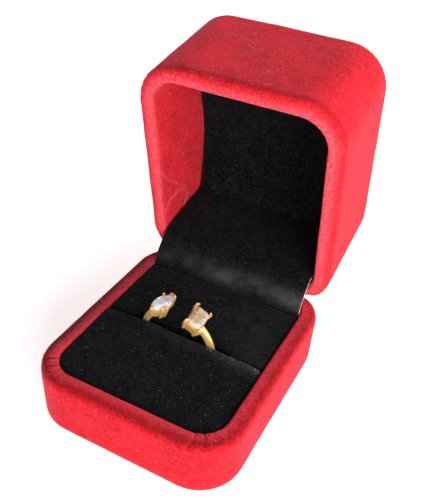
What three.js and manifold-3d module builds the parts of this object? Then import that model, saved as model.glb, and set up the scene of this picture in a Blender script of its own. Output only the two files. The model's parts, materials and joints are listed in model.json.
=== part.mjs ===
// Velvet ring box with a sprung lid, holding an open cuff ring with two claw-set stones.
// Millimetres. +Z is up, the front is -Y, and the lid is hinged along X at the back (+Y).
// The box is modelled open, as it rests. The origin is on the underside, under the box's centre.
import * as THREE from 'three';
import { mergeVertices } from 'three/addons/utils/BufferGeometryUtils.js';
import Module from 'manifold-3d';

const wasm = await Module();
wasm.setup();

// ---- driving dimensions ----
const WIDTH = 51;
const DEPTH = 60;
const CORNER = 10.8; // radius of the upright corners
const RIM_Z = 16.54; // height of the base's rim
const LID_HEIGHT = 31; // lid, from its rim to its top
const CLOSED_GAP = 0.6; // between the two rims when the lid is shut
const OPEN_ANGLE = THREE.MathUtils.degToRad(79.8);
const AXIS_Y = 26.675; // hinge pin
const AXIS_Z = 17.37;

const VELVET = 0.5; // flocked cloth and its glue
const CARD = 0.5;
const GAP = 0.3; // between neighbouring pieces
const SLACK = 0.1; // added to the gap where faces meet at an angle or on a curve
const PAST = 1; // how far a cutter runs past the face it opens
const RIM_FILLET = 1.88;
const BOTTOM_FILLET = 2.6;
const TOP_FILLET = 2.8;
const BOTTOM_DRAFT = 0.2;
const TOP_DRAFT = 0.27;
const BASE_WALL = 4.13; // whole rim width: cloth, shell and cloth
const LID_WALL = 3.9;
const SHELL_BOTTOM = 1.2;
const SHELL_TOP = 2;

const SOLE = 0.4; // thickness of the card under the base
const SOLE_INSET = 4.5;
const HEM = 8; // how far in the cloth is turned under the base
const FOLD_FOOT_Z = 6; // where the base cloth ends, down inside the wall
const LID_FOLD = 24; // how deep the lid cloth reaches, from the rim

const PAD_TOP = 16;
const ROUND = { wall: 0.5, slitFront: 2.2, slitRear: 1.32, flap: 2.2 }; // the pads' upper edges
const MIN_ROUND = 0.4;
const SLIT_FRONT = -2.45; // the front pad's back face
const SLIT = 0.6;
const REAR_PAD_END = 19.3;
const RING_SLOT = { front: -2.6, rear: 0, end: 0.5 }; // how far the pads open round the ring

const FLAP_RADIUS = 7; // cloth face of the flap, from the hinge axis
const FLAP_HALF = 20.6;
const LINER_FACE = 7.05; // the flap's cloth face, in front of the hinge, on the lid
// the liner's cloth face, as [y, z] from the hinge axis with the lid shut, from its crease forward
const BOW = [[-7.4, 19], [-12.5, 20.6], [-24.1, 22.6], [-37, 22.4], [-52, 20.2]];
const FOAM_SHORT = 2; // the lid's foam block is this much shorter than the liner at each end
const FOAM_ROOM = 3; // and stands this far from the lid's wall

const PIN_R = 0.6;
const KNUCKLE_R = 1.3;
const LEAF = 0.5;
const LEAF_HALF = 13;
const LEAF_LENGTH = 9;
const LEAF_ROOM = LEAF_LENGTH + GAP + SLACK;
const KNUCKLES = 5;
const KNUCKLE_ROOM = KNUCKLE_R + GAP + SLACK / 2;
// `seat` is where a rivet's outer head starts, behind the hinge axis
const RIVET = { x: 9, z: 5.5, r: 0.8, headR: 1.6, head: 0.5, seat: 1.75 };
const RIVET_HOLE = [-4, 6]; // its ends, in front of and behind the hinge axis
const SPRING = { r: 4.5, half: 3, thick: 0.3 };

const RING = { x: -1.7, y: -1.3, z: 13.3, outer: 10.3, inner: 8.65, width: 2, bevel: 0.4 };
const RING_ENDS = [134, 406]; // degrees anticlockwise from the right

// stone centres, with turns in degrees: yaw about Z, then nose up, then lean to the right
const MARQUISE = { x: -6.05, z: 23.6, long: 7.1, short: 3.6, yaw: -12, pitch: -3, lean: 10 };
const EMERALD = { x: 3.57, z: 23.1, long: 6.3, short: 3.7, yaw: 5, pitch: -2, lean: 30 };
const PINCH = 0.14; // how much the marquise narrows toward its tips
const CUT = 0.8; // the emerald's cut corners
const STONE_LAYERS = [[0.3, -1.7], [0.97, -0.1], [0.97, 0.05], [0.62, 0.75]]; // [share, z]
const CUP = { top: -0.35, foot: -2.5, wall: 0.45, taper: 0.72 };
const CLAW = { r: 0.42, top: 0.55, taper: 0.8 };
// the claws' places, as shares of the stone's half width and half length
const MARQUISE_CLAWS = [[0, 1.06], [0, -1.06], [1.12, 0.1], [-1.12, -0.1]];
const EMERALD_CLAWS = [[1, 1], [-1, 1], [-1, -1], [1, -1]];
const SEAT = { room: 0.12, layers: [[0.3, -2.2], [1, -0.45], [1, 3]] }; // cut for the stone

const CORNER_STEPS = 6;
const FILLET_STEPS = 4;
const PAD_STEPS = 5;
const FLAP_STEPS = 8;
const BOW_STEPS = 12;
const SPRING_STEPS = 18;
const BAND_STEPS = 18;
const PLAN_STEPS = 16;
const ROD_SIDES = 16;
const PIN_SIDES = 12;
const CLAW_SIDES = 8;
const MIN_CORNER = 0.5;
const MITRE = 0.35; // keeps a sharp corner of an offset path from reaching too far
const BIG = 200;
const EPS = 0.01;

// ---- solids ----
const clean = (geometry) => {
  const g = geometry.clone();
  for (const name of Object.keys(g.attributes)) {
    if (name !== 'position') g.deleteAttribute(name);
  }
  return mergeVertices(g, 1e-4);
};

function solid(geometry) {
  const g = clean(geometry);
  const vertProperties = new Float32Array(g.attributes.position.array);
  const triVerts = new Uint32Array(g.index.array);
  return new wasm.Manifold(new wasm.Mesh({ numProp: 3, vertProperties, triVerts }));
}

function geometryOf(manifold) {
  const { vertProperties, triVerts } = manifold.getMesh();
  const g = new THREE.BufferGeometry();
  g.setAttribute('position', new THREE.BufferAttribute(new Float32Array(vertProperties), 3));
  g.setIndex([...triVerts]);
  g.computeVertexNormals();
  return g;
}

// The box's rounded outline, moved in by `inset`, as points running anticlockwise.
function outline(inset) {
  const r = Math.max(CORNER - inset, MIN_CORNER);
  const hx = WIDTH / 2 - inset - r;
  const hy = DEPTH / 2 - inset - r;
  const points = [];
  for (let corner = 0; corner < 4; corner++) {
    const sx = corner === 0 || corner === 3 ? 1 : -1;
    const sy = corner < 2 ? 1 : -1;
    for (let i = 0; i <= CORNER_STEPS; i++) {
      const a = ((corner + i / CORNER_STEPS) * Math.PI) / 2;
      points.push([sx * hx + r * Math.cos(a), sy * hy + r * Math.sin(a)]);
    }
  }
  return points;
}

// A closed solid skinned over rings of [x, y, z] points, from the lowest ring to the highest.
function skinned(rings) {
  const n = rings[0].length;
  const positions = rings.flat(2);
  positions.push(0, 0, rings[0][0][2]);
  positions.push(0, 0, rings.at(-1)[0][2]);
  const bottom = rings.length * n;
  const last = bottom - n;
  const index = [];
  for (let i = 0; i < n; i++) {
    const j = (i + 1) % n;
    for (let k = 0; k < last; k += n) {
      index.push(k + i, k + j, k + n + j);
      index.push(k + i, k + n + j, k + n + i);
    }
    index.push(bottom, j, i);
    index.push(bottom + 1, last + i, last + j);
  }
  const g = new THREE.BufferGeometry();
  g.setAttribute('position', new THREE.Float32BufferAttribute(positions, 3));
  g.setIndex(index);
  return solid(g);
}

// A block with the box's plan, whose sides follow `profile`, a list of [inset, z] going up.
function block(profile) {
  return skinned(profile.map(([inset, z]) => outline(inset).map(([x, y]) => [x, y, z])));
}

// A block's side profile with rounded bottom and top edges and a little draft.
function rounded(inset, z0, z1, r0, r1, draft0 = 0, draft1 = 0) {
  const points = [];
  const arc = (r, z, side, draft) => {
    for (let i = 0; i <= FILLET_STEPS; i++) {
      const a = ((side > 0 ? i : FILLET_STEPS - i) * Math.PI) / 2 / FILLET_STEPS;
      points.push([inset + draft + r - r * Math.cos(a), z + side * r * Math.sin(a)]);
    }
  };
  arc(r0, z0 + r0, -1, draft0);
  arc(r1, z1 - r1, 1, draft1);
  return points;
}

const prism = (inset, z0, z1) => block([[inset, z0], [inset, z1]]);

function bar(x0, x1, y0, y1, z0, z1) {
  const g = new THREE.BoxGeometry(x1 - x0, y1 - y0, z1 - z0);
  g.translate((x0 + x1) / 2, (y0 + y1) / 2, (z0 + z1) / 2);
  return solid(g);
}

// A rod along X ('x') or Y ('y') from a to b, centred on (p, z).
function rod(along, r, a, b, p, z, sides = ROD_SIDES) {
  const g = new THREE.CylinderGeometry(r, r, b - a, sides);
  if (along === 'x') {
    g.rotateZ(Math.PI / 2);
    g.translate((a + b) / 2, p, z);
  } else {
    g.translate(p, (a + b) / 2, z);
  }
  return solid(g);
}

// An outline in the YZ plane, drawn as [y, z] points, run along X from x0 to x1.
function runAlongX(points, x0, x1) {
  const shape = new THREE.Shape(points.map(([y, z]) => new THREE.Vector2(y, z)));
  const g = new THREE.ExtrudeGeometry(shape, { depth: x1 - x0, bevelEnabled: false });
  g.applyMatrix4(new THREE.Matrix4().set(0, 0, 1, x0, 1, 0, 0, 0, 0, 1, 0, 0, 0, 0, 0, 1));
  return solid(g);
}

// The path moved sideways by `by`, to the left of its direction, with mitred corners.
function offsetPath(path, by) {
  return path.map((p, i) => {
    const before = new THREE.Vector2().subVectors(p, path[Math.max(i - 1, 0)]).normalize();
    const after = new THREE.Vector2().subVectors(path[Math.min(i + 1, path.length - 1)], p).normalize();
    if (i === 0) before.copy(after);
    if (i === path.length - 1) after.copy(before);
    const n = new THREE.Vector2(-before.y - after.y, before.x + after.x).normalize();
    const reach = by / Math.max(MITRE, n.dot(new THREE.Vector2(-before.y, before.x)));
    return [p.x + n.x * reach, p.y + n.y * reach];
  });
}

// A strip of sheet in the YZ plane lying between two distances to the left of a path.
function sheet(path, from, to, half = FLAP_HALF) {
  return runAlongX([...offsetPath(path, from), ...offsetPath(path, to).reverse()], -half, half);
}

function arcPath(r, degrees0, degrees1, steps, y = 0, z = 0) {
  const points = [];
  for (let i = 0; i <= steps; i++) {
    const a = THREE.MathUtils.degToRad(degrees0 + ((degrees1 - degrees0) * i) / steps);
    points.push(new THREE.Vector2(y + r * Math.cos(a), z + r * Math.sin(a)));
  }
  return points;
}

// ---- the assembly ----
const box = new THREE.Group();
const lid = new THREE.Group();
lid.position.set(0, AXIS_Y, AXIS_Z);
lid.rotation.x = -OPEN_ANGLE;
box.add(lid);

const looks = {
  redVelvet: { color: 0xa30f1e, roughness: 0.95 },
  blackVelvet: { color: 0x141416, roughness: 0.95 },
  plastic: { color: 0x2a2a2c, roughness: 0.5 },
  card: { color: 0xd9cfb8, roughness: 0.8 },
  soleCard: { color: 0x1c1c1e, roughness: 0.85 },
  foam: { color: 0xe8e4d8, roughness: 0.9 },
  steel: { color: 0xb9bcc0, roughness: 0.35, metalness: 1 },
  brass: { color: 0xc9a24f, roughness: 0.35, metalness: 1 },
  gold: { color: 0xe3b25a, roughness: 0.18, metalness: 1 },
  stone: { color: 0xf4f4f8, roughness: 0.02 },
};

function add(group, name, manifold, look) {
  const mesh = new THREE.Mesh(geometryOf(manifold), new THREE.MeshStandardMaterial(looks[look]));
  mesh.name = name;
  group.add(mesh);
  return mesh;
}

// Cuts away what lies behind the hinge and past the sloping back rim, so that the lid can tip
// back. `side` is 1 on the base, which keeps what is below, and -1 on the lid.
function backSlope(manifold, side, clear, y, z) {
  const g = new THREE.BoxGeometry(BIG, BIG, BIG);
  g.translate(0, 0, side * (BIG / 2 - clear));
  g.rotateX((-side * OPEN_ANGLE) / 2);
  g.translate(0, y, z);
  return manifold.subtract(solid(g));
}

const hingeRoom = (y, z) => rod('x', KNUCKLE_ROOM, -LEAF_HALF - GAP, LEAF_HALF + GAP, y, z);
const SLOPE_CLEAR = 0.2;
const SKIN = VELVET + GAP; // from the cloth's face to the shell

// ---- base ----
const HEM_Z = SOLE + GAP;
const SHELL_Z = HEM_Z + SKIN;
const FLOOR_Z = SHELL_Z + SHELL_BOTTOM;

function baseOuter(offset) {
  const r0 = BOTTOM_FILLET - offset;
  const r1 = RIM_FILLET - offset;
  return block(rounded(offset, HEM_Z + offset, RIM_Z - offset, r0, r1, BOTTOM_DRAFT));
}

function rivetHoles(manifold, y, z) {
  const [front, back] = RIVET_HOLE;
  let cut = manifold;
  for (const x of [-RIVET.x, RIVET.x]) {
    cut = cut.subtract(rod('y', RIVET.r + GAP, y + front, y + back, x, z));
    cut = cut.subtract(rod('y', RIVET.headR + GAP, y + RIVET.seat - GAP, y + back, x, z));
  }
  return cut;
}

function leafNotch(face, y, z0, z1) {
  const half = LEAF_HALF + GAP;
  return bar(-half, half, y + face - PAST, y + face + VELVET + GAP / 2, z0, z1);
}

const BASE_LEAF = DEPTH / 2 - BASE_WALL - AXIS_Y; // the base leaf's front face, from the axis
const LID_LEAF = DEPTH / 2 - LID_WALL - AXIS_Y;
const rivetZ = AXIS_Z - RIVET.z;

add(box, 'sole_card', prism(SOLE_INSET, 0, SOLE), 'soleCard');

let baseShell = baseOuter(SKIN).subtract(prism(BASE_WALL - SKIN, FLOOR_Z, BIG));
baseShell = backSlope(baseShell, 1, SLOPE_CLEAR + SKIN, AXIS_Y, AXIS_Z);
baseShell = rivetHoles(baseShell.subtract(hingeRoom(AXIS_Y, AXIS_Z)), AXIS_Y, rivetZ);
add(box, 'base_shell', baseShell, 'plastic');

let baseVelvet = backSlope(baseOuter(0), 1, SLOPE_CLEAR, AXIS_Y, AXIS_Z);
let baseRoom = baseOuter(VELVET).subtract(prism(BASE_WALL - VELVET, FOLD_FOOT_Z, BIG));
baseRoom = backSlope(baseRoom, 1, SLOPE_CLEAR + VELVET, AXIS_Y, AXIS_Z);
baseVelvet = baseVelvet.subtract(baseRoom).subtract(prism(BASE_WALL, FOLD_FOOT_Z - EPS, BIG));
baseVelvet = baseVelvet.subtract(prism(HEM, -PAST, HEM_Z + 2 * PAST));
baseVelvet = baseVelvet.subtract(hingeRoom(AXIS_Y, AXIS_Z));
const baseNotch = leafNotch(BASE_LEAF, AXIS_Y, AXIS_Z - LEAF_ROOM, AXIS_Z);
add(box, 'base_velvet', baseVelvet.subtract(baseNotch), 'redVelvet');

// ---- pads ----
const PAD_CARD_Z = FLOOR_Z + GAP;
const PAD_Z = PAD_CARD_Z + CARD + GAP;

// The room round the ring, which the pads' card, cloth and foam keep `grow` clear of.
function ringSlot(grow) {
  const half = RING.outer + RING_SLOT.end + grow;
  const front = RING_SLOT.front - grow;
  const rear = RING_SLOT.rear + grow;
  return bar(RING.x - half, RING.x + half, front, rear, FLOOR_Z, BIG);
}

// A pad block from y0 to y1, rounded along its two upper edges, inset from its cloth's face.
function padBlock(y0, y1, front, rear, inset, z0) {
  const top = PAD_TOP - inset;
  const corner = (y, round, side) => {
    const r = Math.max(round - inset, MIN_ROUND);
    const arc = arcPath(r, side > 0 ? 0 : 180, 90, PAD_STEPS);
    return arc.map((p) => [y - side * (inset + r) + p.x, top - r + p.y]);
  };
  const points = [
    [y1 - inset, z0],
    ...corner(y1, rear, 1),
    ...corner(y0, front, -1).reverse(),
    [y0 + inset, z0],
  ];
  const plan = prism(BASE_WALL + GAP + inset, z0, BIG);
  return runAlongX(points, -WIDTH / 2, WIDTH / 2).intersect(plan);
}

function addPad(name, y0, y1, front, rear) {
  const card = bar(-WIDTH, WIDTH, y0 + GAP, y1 - GAP, PAD_CARD_Z, PAD_CARD_Z + CARD);
  const plan = prism(BASE_WALL + GAP * 2, PAD_CARD_Z, PAD_CARD_Z + CARD);
  const foam = padBlock(y0, y1, front, rear, SKIN, PAD_Z).subtract(ringSlot(SKIN));
  const room = padBlock(y0, y1, front, rear, VELVET, PAD_Z - PAST).subtract(ringSlot(VELVET));
  const skin = padBlock(y0, y1, front, rear, 0, PAD_Z).subtract(ringSlot(0)).subtract(room);
  add(box, `${name}_pad_card`, card.intersect(plan).subtract(ringSlot(0)), 'card');
  add(box, `${name}_pad_foam`, foam, 'foam');
  add(box, `${name}_pad_velvet`, skin, 'blackVelvet');
}

addPad('front', -DEPTH / 2 + BASE_WALL + GAP, SLIT_FRONT, ROUND.wall, ROUND.slitFront);
addPad('rear', SLIT_FRONT + SLIT, REAR_PAD_END, ROUND.slitRear, ROUND.flap);

// ---- hinge ----
// A leaf hangs down from the pin on the base. The lid's is the same one turned over.
function leaf(face, turns) {
  let plate = bar(-LEAF_HALF, LEAF_HALF, face, face + LEAF, -LEAF_LENGTH, -KNUCKLE_ROOM);
  const bore = rod('x', PIN_R + GAP, -LEAF_HALF * 2, LEAF_HALF * 2, 0, 0);
  const pitch = (2 * LEAF_HALF + GAP) / KNUCKLES;
  for (const k of turns) {
    const x0 = -LEAF_HALF + k * pitch;
    const x1 = x0 + pitch - GAP;
    plate = plate.add(bar(x0, x1, face, face + LEAF, -KNUCKLE_ROOM - EPS, -PIN_R));
    plate = plate.add(rod('x', KNUCKLE_R, x0, x1, 0, 0));
  }
  plate = plate.subtract(bore);
  for (const x of [-RIVET.x, RIVET.x]) {
    plate = plate.subtract(rod('y', RIVET.r + GAP, ...RIVET_HOLE, x, -RIVET.z));
  }
  return plate;
}

function rivet(face, x, z) {
  const inner = face - GAP;
  const outer = RIVET.seat;
  let pin = rod('y', RIVET.r, inner - EPS, outer + EPS, x, z, PIN_SIDES);
  pin = pin.add(rod('y', RIVET.headR, inner - RIVET.head, inner, x, z, PIN_SIDES));
  return pin.add(rod('y', RIVET.headR, outer, outer + RIVET.head, x, z, PIN_SIDES));
}

const atHinge = (manifold) => manifold.translate([0, AXIS_Y, AXIS_Z]);
add(box, 'base_hinge_leaf', atHinge(leaf(BASE_LEAF, [0, 2, 4])), 'steel');
const pin = rod('x', PIN_R, -LEAF_HALF, LEAF_HALF, AXIS_Y, AXIS_Z, PIN_SIDES);
add(box, 'hinge_pin', pin, 'steel');
add(lid, 'lid_hinge_leaf', leaf(LID_LEAF, [1, 3]).mirror([0, 0, 1]), 'steel');
for (const [side, x] of [['left', -RIVET.x], ['right', RIVET.x]]) {
  add(box, `base_rivet_${side}`, atHinge(rivet(BASE_LEAF, x, -RIVET.z)), 'brass');
  add(lid, `lid_rivet_${side}`, rivet(LID_LEAF, x, RIVET.z), 'brass');
}

// The C-shaped strip spring reaches round the pin, from one leaf to the other.
const openDegrees = THREE.MathUtils.radToDeg(OPEN_ANGLE);
const stand = GAP + SPRING.thick / 2 + SLACK;
const reach = (face) => THREE.MathUtils.radToDeg(Math.asin((stand - face) / SPRING.r));
const springPath = arcPath(
  SPRING.r,
  90 - openDegrees + reach(LID_LEAF),
  270 - reach(BASE_LEAF),
  SPRING_STEPS,
  AXIS_Y,
  AXIS_Z,
);
const spring = sheet(springPath, -SPRING.thick / 2, SPRING.thick / 2, SPRING.half);
add(box, 'hinge_spring', spring, 'steel');

// ---- flap: from behind the rear pad, up and round the hinge to the lid ----
const flapPath = [
  new THREE.Vector2(AXIS_Y - FLAP_RADIUS, PAD_CARD_Z),
  ...arcPath(FLAP_RADIUS, 180, 180 - openDegrees, FLAP_STEPS, AXIS_Y, AXIS_Z),
];
add(box, 'flap_velvet', sheet(flapPath, -VELVET, 0), 'blackVelvet');
add(box, 'flap_card', sheet(flapPath, -SKIN - CARD, -SKIN), 'card');

// ---- lid, drawn shut and measured from the hinge axis ----
const LID_RIM = RIM_Z + CLOSED_GAP - AXIS_Z;
const LID_TOP = LID_RIM + LID_HEIGHT;
const LID_ROOF = LID_TOP - SKIN - SHELL_TOP; // the shell's inner face
const onAxis = (manifold) => manifold.translate([0, -AXIS_Y, 0]);

function lidOuter(offset) {
  const r0 = RIM_FILLET - offset;
  const r1 = TOP_FILLET - offset;
  return onAxis(block(rounded(offset, LID_RIM + offset, LID_TOP - offset, r0, r1, 0, TOP_DRAFT)));
}

const lidPrism = (inset, z0, z1) => onAxis(prism(inset, z0, z1));

let lidShell = lidOuter(SKIN).subtract(lidPrism(LID_WALL - SKIN, -BIG, LID_ROOF));
lidShell = backSlope(lidShell, -1, SLOPE_CLEAR + SKIN, 0, 0).subtract(hingeRoom(0, 0));
add(lid, 'lid_shell', rivetHoles(lidShell, 0, RIVET.z), 'plastic');

let lidVelvet = backSlope(lidOuter(0), -1, SLOPE_CLEAR, 0, 0);
let lidRoom = lidOuter(VELVET).subtract(lidPrism(LID_WALL - VELVET, -BIG, LID_RIM + LID_FOLD));
lidRoom = backSlope(lidRoom, -1, SLOPE_CLEAR + VELVET, 0, 0);
lidVelvet = lidVelvet.subtract(lidRoom).subtract(hingeRoom(0, 0));
lidVelvet = lidVelvet.subtract(lidPrism(LID_WALL, -BIG, LID_RIM + LID_FOLD + EPS));
add(lid, 'lid_velvet', lidVelvet.subtract(leafNotch(LID_LEAF, 0, 0, LEAF_ROOM)), 'redVelvet');

// The liner goes up the lid from the flap, folds at the crease and bows across the lid.
const bow = new THREE.SplineCurve(BOW.map(([y, z]) => new THREE.Vector2(y, z)));
const linerFoot = new THREE.Vector2(-LINER_FACE, GAP + SLACK / 2);
const linerPath = [linerFoot, ...bow.getPoints(BOW_STEPS)];
const lidInside = lidPrism(LID_WALL + GAP + SLACK, -BIG, BIG);
const liner = (from, to) => sheet(linerPath, from, to).intersect(lidInside);
add(lid, 'liner_velvet', liner(-VELVET, 0), 'blackVelvet');
add(lid, 'liner_card', liner(-SKIN - CARD, -SKIN), 'card');

const foamFace = offsetPath(bow.getPoints(BOW_STEPS).slice(1), -SKIN - CARD - GAP);
const foamTop = LID_ROOF - GAP;
const foamOutline = [...foamFace, [foamFace.at(-1)[0], foamTop], [foamFace[0][0], foamTop]];
const lidFoam = runAlongX(foamOutline, -FLAP_HALF + FOAM_SHORT, FLAP_HALF - FOAM_SHORT);
const foamPlan = lidPrism(LID_WALL + FOAM_ROOM, -BIG, BIG);
add(lid, 'lid_foam_block', lidFoam.intersect(foamPlan), 'foam');

// ---- ring ----
function ringBand() {
  const shape = new THREE.Shape();
  const [a0, a1] = RING_ENDS.map(THREE.MathUtils.degToRad);
  const { bevel } = RING;
  shape.absarc(0, 0, RING.outer - bevel, a0, a1, false);
  shape.absarc(0, 0, RING.inner + bevel, a1, a0, true);
  const g = new THREE.ExtrudeGeometry(shape, {
    depth: RING.width - 2 * bevel,
    curveSegments: BAND_STEPS,
    bevelSize: bevel,
    bevelThickness: bevel,
    bevelSegments: 2,
  });
  g.rotateX(Math.PI / 2);
  g.translate(RING.x, RING.y + RING.width / 2 - bevel, RING.z);
  return solid(g);
}

// A stone's plan, centred on the origin, with its long way along Y and `grow` added all round.
function marquisePlan(stone, grow) {
  const a = stone.long / 2 + grow;
  const b = stone.short / 2 + grow;
  const points = [];
  for (let i = 0; i < PLAN_STEPS; i++) {
    const t = (i / PLAN_STEPS) * 2 * Math.PI;
    const pinch = 1 - PINCH * Math.sin(t) ** 2;
    points.push([b * Math.cos(t) * pinch, a * Math.sin(t)]);
  }
  return points;
}

function emeraldPlan(stone, grow) {
  const a = stone.long / 2 + grow;
  const b = stone.short / 2 + grow;
  const quarter = [[b, a - CUT], [b - CUT, a]];
  const points = [];
  for (const [sx, sy] of [[1, 1], [-1, 1], [-1, -1], [1, -1]]) {
    const two = quarter.map(([x, y]) => [sx * x, sy * y]);
    points.push(...(sx * sy > 0 ? two : two.reverse()));
  }
  return points;
}

// Plans stacked into one closed solid. Each layer is [share of the plan, z].
function stack(plan, layers) {
  return skinned(layers.map(([share, z]) => plan.map(([x, y]) => [x * share, y * share, z])));
}

// An open cup round the stone's lower half, with claws standing past the girdle.
function setting(plan, claws) {
  const outer = stack(plan(CUP.wall), [[CUP.taper, CUP.foot], [1, CUP.top]]);
  const inner = stack(plan(0), [[CUP.taper, CUP.foot - PAST], [1, CUP.top + PAST]]);
  let cup = outer.subtract(inner);
  for (const [x, y] of claws) {
    const height = CLAW.top - CUP.foot;
    const claw = new THREE.CylinderGeometry(CLAW.r, CLAW.r * CLAW.taper, height, CLAW_SIDES);
    claw.rotateX(Math.PI / 2);
    claw.translate(x, y, CUP.foot + height / 2);
    cup = cup.add(solid(claw));
  }
  return cup.subtract(stack(plan(SEAT.room), SEAT.layers));
}

function place(manifold, stone) {
  return manifold
    .rotate([stone.pitch, 0, 0])
    .rotate([0, stone.lean, 0])
    .rotate([0, 0, stone.yaw])
    .translate([stone.x, RING.y, stone.z]);
}

function addStone(name, stone, planOf, shares) {
  const plan = (grow) => planOf(stone, grow);
  const claws = shares.map(([x, y]) => [(x * stone.short) / 2, (y * stone.long) / 2]);
  add(box, `${name}_setting`, place(setting(plan, claws), stone), 'gold');
  add(box, `${name}_stone`, place(stack(plan(-GAP / 2), STONE_LAYERS), stone), 'stone');
}

add(box, 'ring_band', ringBand(), 'gold');
addStone('marquise', MARQUISE, marquisePlan, MARQUISE_CLAWS);
addStone('emerald', EMERALD, emeraldPlan, EMERALD_CLAWS);

export default box;
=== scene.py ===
"""The looks of an open velvet ring box: red flocked covers, black padded inside, and a gold cuff
ring with two clear stones. Everything is drawn in millimetres in the CAD frame, and MM makes it
metres. The lid's pieces are drawn shut and then tipped open about the hinge."""
import json
import math

import bmesh
import bpy
import numpy as np
from mathutils import Matrix, Vector, noise


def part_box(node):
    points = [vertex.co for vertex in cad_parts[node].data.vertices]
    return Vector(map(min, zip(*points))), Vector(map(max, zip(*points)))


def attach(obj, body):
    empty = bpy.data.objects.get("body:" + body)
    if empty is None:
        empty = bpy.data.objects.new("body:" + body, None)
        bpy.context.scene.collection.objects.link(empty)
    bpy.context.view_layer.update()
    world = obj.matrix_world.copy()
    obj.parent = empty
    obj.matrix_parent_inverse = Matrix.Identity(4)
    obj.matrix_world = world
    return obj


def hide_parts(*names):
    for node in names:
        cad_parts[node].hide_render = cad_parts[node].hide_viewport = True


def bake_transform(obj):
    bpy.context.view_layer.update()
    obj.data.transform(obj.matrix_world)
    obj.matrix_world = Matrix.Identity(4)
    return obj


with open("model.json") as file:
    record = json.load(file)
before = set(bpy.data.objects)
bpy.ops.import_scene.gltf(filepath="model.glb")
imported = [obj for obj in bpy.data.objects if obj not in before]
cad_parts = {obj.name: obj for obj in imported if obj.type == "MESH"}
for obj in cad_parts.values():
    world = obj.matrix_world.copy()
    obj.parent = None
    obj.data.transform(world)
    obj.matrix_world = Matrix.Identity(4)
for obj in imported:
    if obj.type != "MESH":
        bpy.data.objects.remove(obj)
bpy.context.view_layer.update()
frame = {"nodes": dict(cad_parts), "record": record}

MM = 0.001
SCENE = bpy.context.scene

# ---- sizes taken from the frame, in millimetres ----


def box_mm(node):
    """A node's lowest and highest corners at rest."""
    low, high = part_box(node)
    return np.array(low) / MM, np.array(high) / MM


JOINTS = {j["name"]: j for j in frame["record"]["behaviour"]["joints"]}
AXIS = np.array(JOINTS["lid_hinge"]["pos_m"]) / MM
OPEN = math.radians(JOINTS["lid_hinge"]["range_deg"][1])

BASE_LOW, BASE_HIGH = box_mm("base_velvet")
WIDTH, DEPTH, _ = BASE_HIGH - BASE_LOW
HEM_Z, RIM_Z = BASE_LOW[2], BASE_HIGH[2]
_, SLIT_FRONT, PAD_TOP = box_mm("front_pad_velvet")[1]
_, SLIT_BACK, PAD_FOOT = box_mm("rear_pad_velvet")[0]
REAR_PAD_END = box_mm("rear_pad_velvet")[1][1]
RING_LOW, RING_HIGH = box_mm("ring_band")

CORNER = 10.8  # radius of the upright corners
BASE_WALL = 4.13  # the walls are measured over the cloth on both sides
LID_WALL = 3.9
LID_HEIGHT = 31.0
CLOTH = 0.5  # thickness of the red cloth
GAP = 0.3  # kept clear between neighbouring pieces
RIM_ROUND = 1.88  # radius of the rims' outer edges
SHUT_GAP = 0.6  # between the two rims when the lid is shut
LID_RIM = RIM_Z + SHUT_GAP
LID_TOP = LID_RIM + LID_HEIGHT

# ---- mesh helpers ----


def make(name, points, faces, material, lay=None, wear_and_sheen=None, painted_shade=None):
    """A smooth mesh object from points in millimetres. lay gives each point's place on the flat
    cloth. Of the two values after it, the first is how far its nap is bent open there, with
    painted sheen added on some pieces. The second is painted shade, how far its colour is
    painted darker there."""
    mesh = bpy.data.meshes.new(name)
    mesh.from_pydata([tuple(float(c) * MM for c in p) for p in points], [], faces)
    if lay is not None:
        loops = np.zeros(len(mesh.loops), dtype=np.int32)
        mesh.loops.foreach_get("vertex_index", loops)
        mesh.uv_layers.new(name="cloth").data.foreach_set("uv", lay[loops].ravel())
    for title, values in (("wear_and_sheen", wear_and_sheen), ("painted_shade", painted_shade)):
        if values is not None:
            mesh.attributes.new(title, "FLOAT", "POINT").data.foreach_set("value", values)
    mesh.validate()
    mesh.shade_smooth()
    obj = bpy.data.objects.new(name, mesh)
    SCENE.collection.objects.link(obj)
    mesh.materials.append(material)
    return obj


def grid_faces(rows, cols, wrap_rows=False, wrap_cols=False, first=0, flip=False):
    """Quads over a grid of points stored row by row."""
    faces = []
    for r in range(rows if wrap_rows else rows - 1):
        for c in range(cols if wrap_cols else cols - 1):
            r2 = (r + 1) % rows
            c2 = (c + 1) % cols
            quad = [first + a * cols + b for a, b in ((r, c), (r, c2), (r2, c2), (r2, c))]
            faces.append(quad[::-1] if flip else quad)
    return faces


def edge_faces(rows, cols):
    """Quads that join the edges of two grids stored one after the other."""
    n = rows * cols
    last = n - cols
    rim = list(range(cols)) + [r * cols + cols - 1 for r in range(1, rows)]
    rim += [last + c for c in range(cols - 2, -1, -1)] + [r * cols for r in range(rows - 2, 0, -1)]
    return [[a, b, n + b, n + a] for a, b in zip(rim, rim[1:] + rim[:1])]


def grid_normals(grid):
    """Unit normals of a (rows, cols, 3) grid of points whose last column joins the first."""
    along = np.gradient(grid, axis=0)
    across = (np.roll(grid, -1, axis=1) - np.roll(grid, 1, axis=1)) / 2
    n = np.cross(across, along)
    return n / np.maximum(np.linalg.norm(n, axis=2, keepdims=True), 1e-9)


def cut(obj, *tools):
    """Takes each tool's solid out of the object."""
    for tool in tools:
        mod = obj.modifiers.new("cut", "BOOLEAN")
        mod.operation = "DIFFERENCE"
        mod.solver = "MANIFOLD"
        mod.object = tool
    deps = bpy.context.evaluated_depsgraph_get()
    mesh = bpy.data.meshes.new_from_object(obj.evaluated_get(deps))
    obj.modifiers.clear()
    obj.data = mesh
    for tool in tools:
        bpy.data.objects.remove(tool)
    mesh.shade_smooth()


def distance_along(path):
    """How far each point of a path lies from its start."""
    steps = np.linalg.norm(np.diff(path, axis=0), axis=1)
    return np.concatenate([[0], np.cumsum(steps)])


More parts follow.
